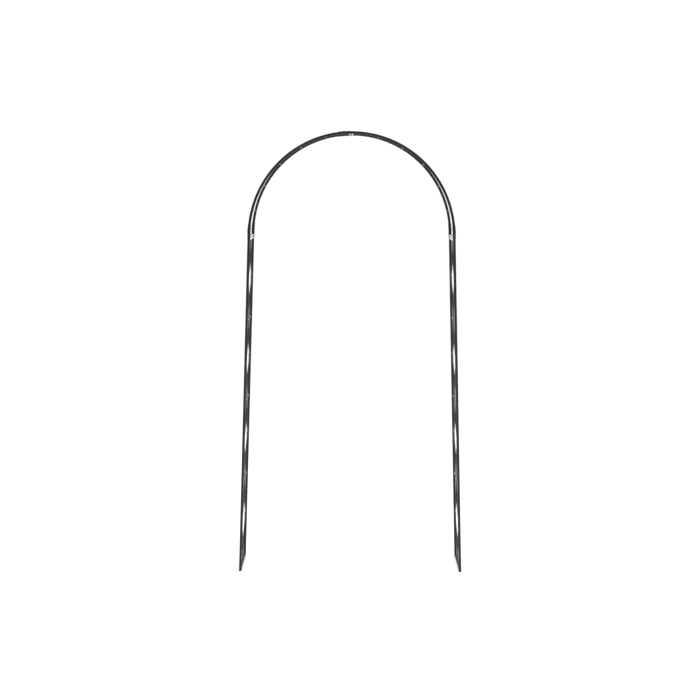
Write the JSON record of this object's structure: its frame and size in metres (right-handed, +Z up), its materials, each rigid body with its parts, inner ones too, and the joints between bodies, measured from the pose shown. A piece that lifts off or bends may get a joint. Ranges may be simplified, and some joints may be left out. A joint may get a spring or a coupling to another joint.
{
  "type": "trellis arch",
  "caption": "Tall round-topped garden arch of slim black tube: twin hoops joined by rungs, with pairs of bent rods in its legs for climbing plants.",
  "frame": {"origin": "on the ground, in the middle of the arch", "axes": "+Z up, X across the passage between the legs, Y through the passage, with the front hoop at -Y"},
  "size_m": [1.226, 0.3926, 2.4036],
  "materials": {
    "hoop_tube": "satin black coat over round steel tube",
    "end_rung": "smooth gloss black coat over thick round rung",
    "foot_rung": "satin black coat over thick round rung at the ground",
    "thin_rung": "satin black coat over thin round rod",
    "lattice_rod": "satin black coat over bent round rod",
    "foot_plug": "moulded black plastic",
    "screw": "zinc plate"
  },
  "bodies": {
    "root": {"left_leg_front_tube": "hoop_tube", "left_leg_front_lattice_rod_1": "lattice_rod", "left_leg_front_lattice_rod_2": "lattice_rod", "left_leg_front_lattice_rod_3": "lattice_rod", "left_leg_front_lattice_rod_4": "lattice_rod", "left_leg_front_foot_plug": "foot_plug", "left_leg_rear_tube": "hoop_tube", "left_leg_rear_lattice_rod_1": "lattice_rod", "left_leg_rear_lattice_rod_2": "lattice_rod", "left_leg_rear_lattice_rod_3": "lattice_rod", "left_leg_rear_lattice_rod_4": "lattice_rod", "left_leg_rear_foot_plug": "foot_plug", "left_leg_foot_rung": "foot_rung", "left_leg_rung_1": "thin_rung", "left_leg_rung_2": "thin_rung", "left_leg_rung_3": "thin_rung", "left_leg_top_rung": "end_rung", "left_arc_front_tube": "hoop_tube", "left_arc_rear_tube": "hoop_tube", "left_arc_lower_rung": "end_rung", "left_arc_rung_1": "thin_rung", "left_arc_rung_2": "thin_rung", "left_arc_rung_3": "thin_rung", "left_arc_rung_4": "thin_rung", "left_arc_rung_5": "thin_rung", "left_arc_crown_rung": "end_rung", "left_front_socket_screw": "screw", "left_rear_socket_screw": "screw", "right_leg_front_tube": "hoop_tube", "right_leg_front_lattice_rod_1": "lattice_rod", "right_leg_front_lattice_rod_2": "lattice_rod", "right_leg_front_lattice_rod_3": "lattice_rod", "right_leg_front_lattice_rod_4": "lattice_rod", "right_leg_front_foot_plug": "foot_plug", "right_leg_rear_tube": "hoop_tube", "right_leg_rear_lattice_rod_1": "lattice_rod", "right_leg_rear_lattice_rod_2": "lattice_rod", "right_leg_rear_lattice_rod_3": "lattice_rod", "right_leg_rear_lattice_rod_4": "lattice_rod", "right_leg_rear_foot_plug": "foot_plug", "right_leg_foot_rung": "foot_rung", "right_leg_rung_1": "thin_rung", "right_leg_rung_2": "thin_rung", "right_leg_rung_3": "thin_rung", "right_leg_top_rung": "end_rung", "right_arc_front_tube": "hoop_tube", "right_arc_rear_tube": "hoop_tube", "right_arc_lower_rung": "end_rung", "right_arc_rung_1": "thin_rung", "right_arc_rung_2": "thin_rung", "right_arc_rung_3": "thin_rung", "right_arc_rung_4": "thin_rung", "right_arc_rung_5": "thin_rung", "right_arc_crown_rung": "end_rung", "right_front_socket_screw": "screw", "right_rear_socket_screw": "screw", "crown_front_socket_screw": "screw", "crown_rear_socket_screw": "screw"}
  },
  "joints": []
}
